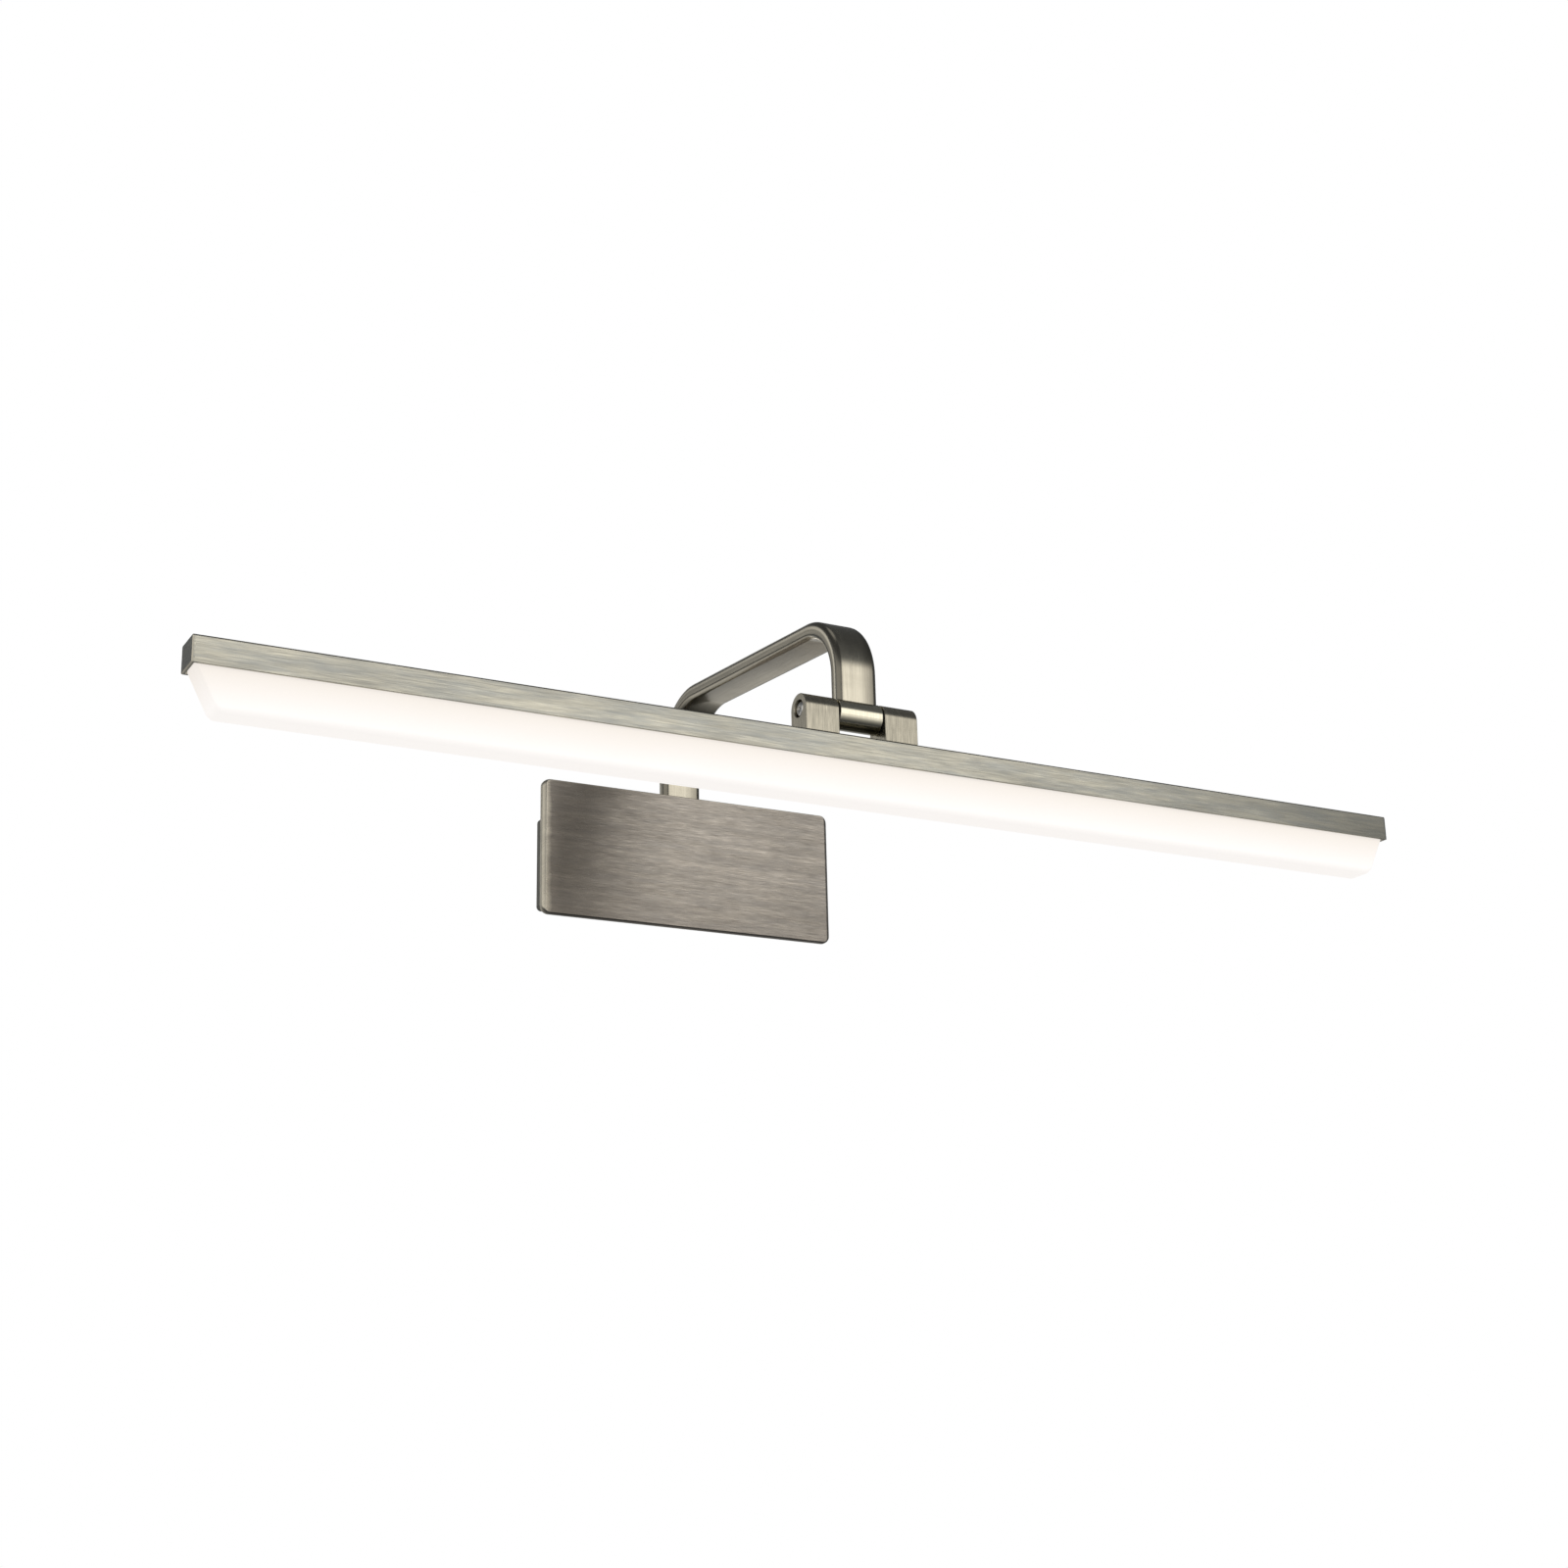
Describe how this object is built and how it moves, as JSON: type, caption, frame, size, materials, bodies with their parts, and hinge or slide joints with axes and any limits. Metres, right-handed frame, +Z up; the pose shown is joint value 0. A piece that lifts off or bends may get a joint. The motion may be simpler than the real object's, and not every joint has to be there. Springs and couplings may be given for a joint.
{
  "type": "picture light",
  "caption": "Wall-mounted picture light: long LED bar with an opal diffuser, tilting on a friction hinge at the end of a flat bent arm from a shallow wall box.",
  "frame": {"origin": "on the wall, at the back face of the wall bracket, behind the middle of the cover plate", "axes": "+X along the LED bar to the right as the viewer faces the wall, +Y into the wall, +Z up"},
  "size_m": [0.525, 0.1768, 0.1056],
  "materials": {
    "brushed_brass_plate": "steel sheet, antique brass plated, brushed along X and lacquered",
    "brushed_brass_channel": "antique brass plated, brushed along X and lacquered",
    "brushed_brass_arm": "antique brass plated steel tube, finely cross-brushed, satin",
    "brushed_brass_hinge": "antique brass, brushed flats, dark in the hollows",
    "box_dark_brass": "antique brass plated sheet, satin",
    "zinc_steel": "bright zinc plated",
    "nickel_screw": "nickel plated, bright",
    "raw_brass": "turned, plain",
    "opal_diffuser": "opal acrylic, satin, lit from inside",
    "led_board_white": "white solder mask on aluminium board",
    "circuit_board_green": "green solder mask",
    "white_nylon": "moulded, satin",
    "black_plastic": "moulded, matt",
    "transformer_core": "ferrite and tape",
    "grommet_rubber": "moulded, matt",
    "wire_brown": "wire insulation",
    "wire_blue": "wire insulation",
    "lead_black": "twin lead insulation"
  },
  "bodies": {
    "wall_mount": {"wall_bracket": "zinc_steel", "cable_grommet": "grommet_rubber", "base_housing": "box_dark_brass", "front_panel": "brushed_brass_plate", "earth_washer": "nickel_screw", "earth_screw": "raw_brass", "cover_screw_left": "nickel_screw", "cover_screw_right": "nickel_screw", "panel_nut_1": "nickel_screw", "panel_nut_2": "nickel_screw", "panel_nut_3": "nickel_screw", "driver_case": "white_nylon", "driver_lid": "white_nylon", "driver_board": "circuit_board_green", "driver_transformer": "transformer_core", "driver_capacitor": "black_plastic", "terminal_block": "white_nylon", "terminal_insert_1": "raw_brass", "terminal_insert_2": "raw_brass", "terminal_screw_1": "nickel_screw", "terminal_screw_2": "nickel_screw", "terminal_screw_3": "nickel_screw", "terminal_screw_4": "nickel_screw", "terminal_fixing_screw": "nickel_screw", "live_wire": "wire_brown", "neutral_wire": "wire_blue", "arm": "brushed_brass_arm", "arm_flange": "zinc_steel", "flange_screw_left": "nickel_screw", "flange_screw_right": "nickel_screw", "arm_lead": "lead_black", "hinge_barrel": "brushed_brass_hinge", "hinge_nipple": "zinc_steel", "friction_washer_left": "black_plastic", "friction_washer_right": "black_plastic", "hinge_spring_washer": "nickel_screw", "hinge_screw": "nickel_screw"},
    "lamp_head": {"hinge_cheek_left": "brushed_brass_hinge", "hinge_cheek_right": "brushed_brass_hinge", "cheek_screw_left": "nickel_screw", "cheek_screw_right": "nickel_screw", "head_channel": "brushed_brass_channel", "end_cap_left": "brushed_brass_channel", "end_cap_right": "brushed_brass_channel", "thermal_tape": "white_nylon", "led_board": "led_board_white", "led_connector": "white_nylon", "head_lead": "lead_black", "diffuser": "opal_diffuser"}
  },
  "joints": [
    {"name": "head_tilt", "type": "hinge", "parent": "wall_mount", "child": "lamp_head", "pos_m": [0, -0.1698, 0.02045], "axis": [1, 0, 0], "range_deg": [-45, 90]}
  ]
}
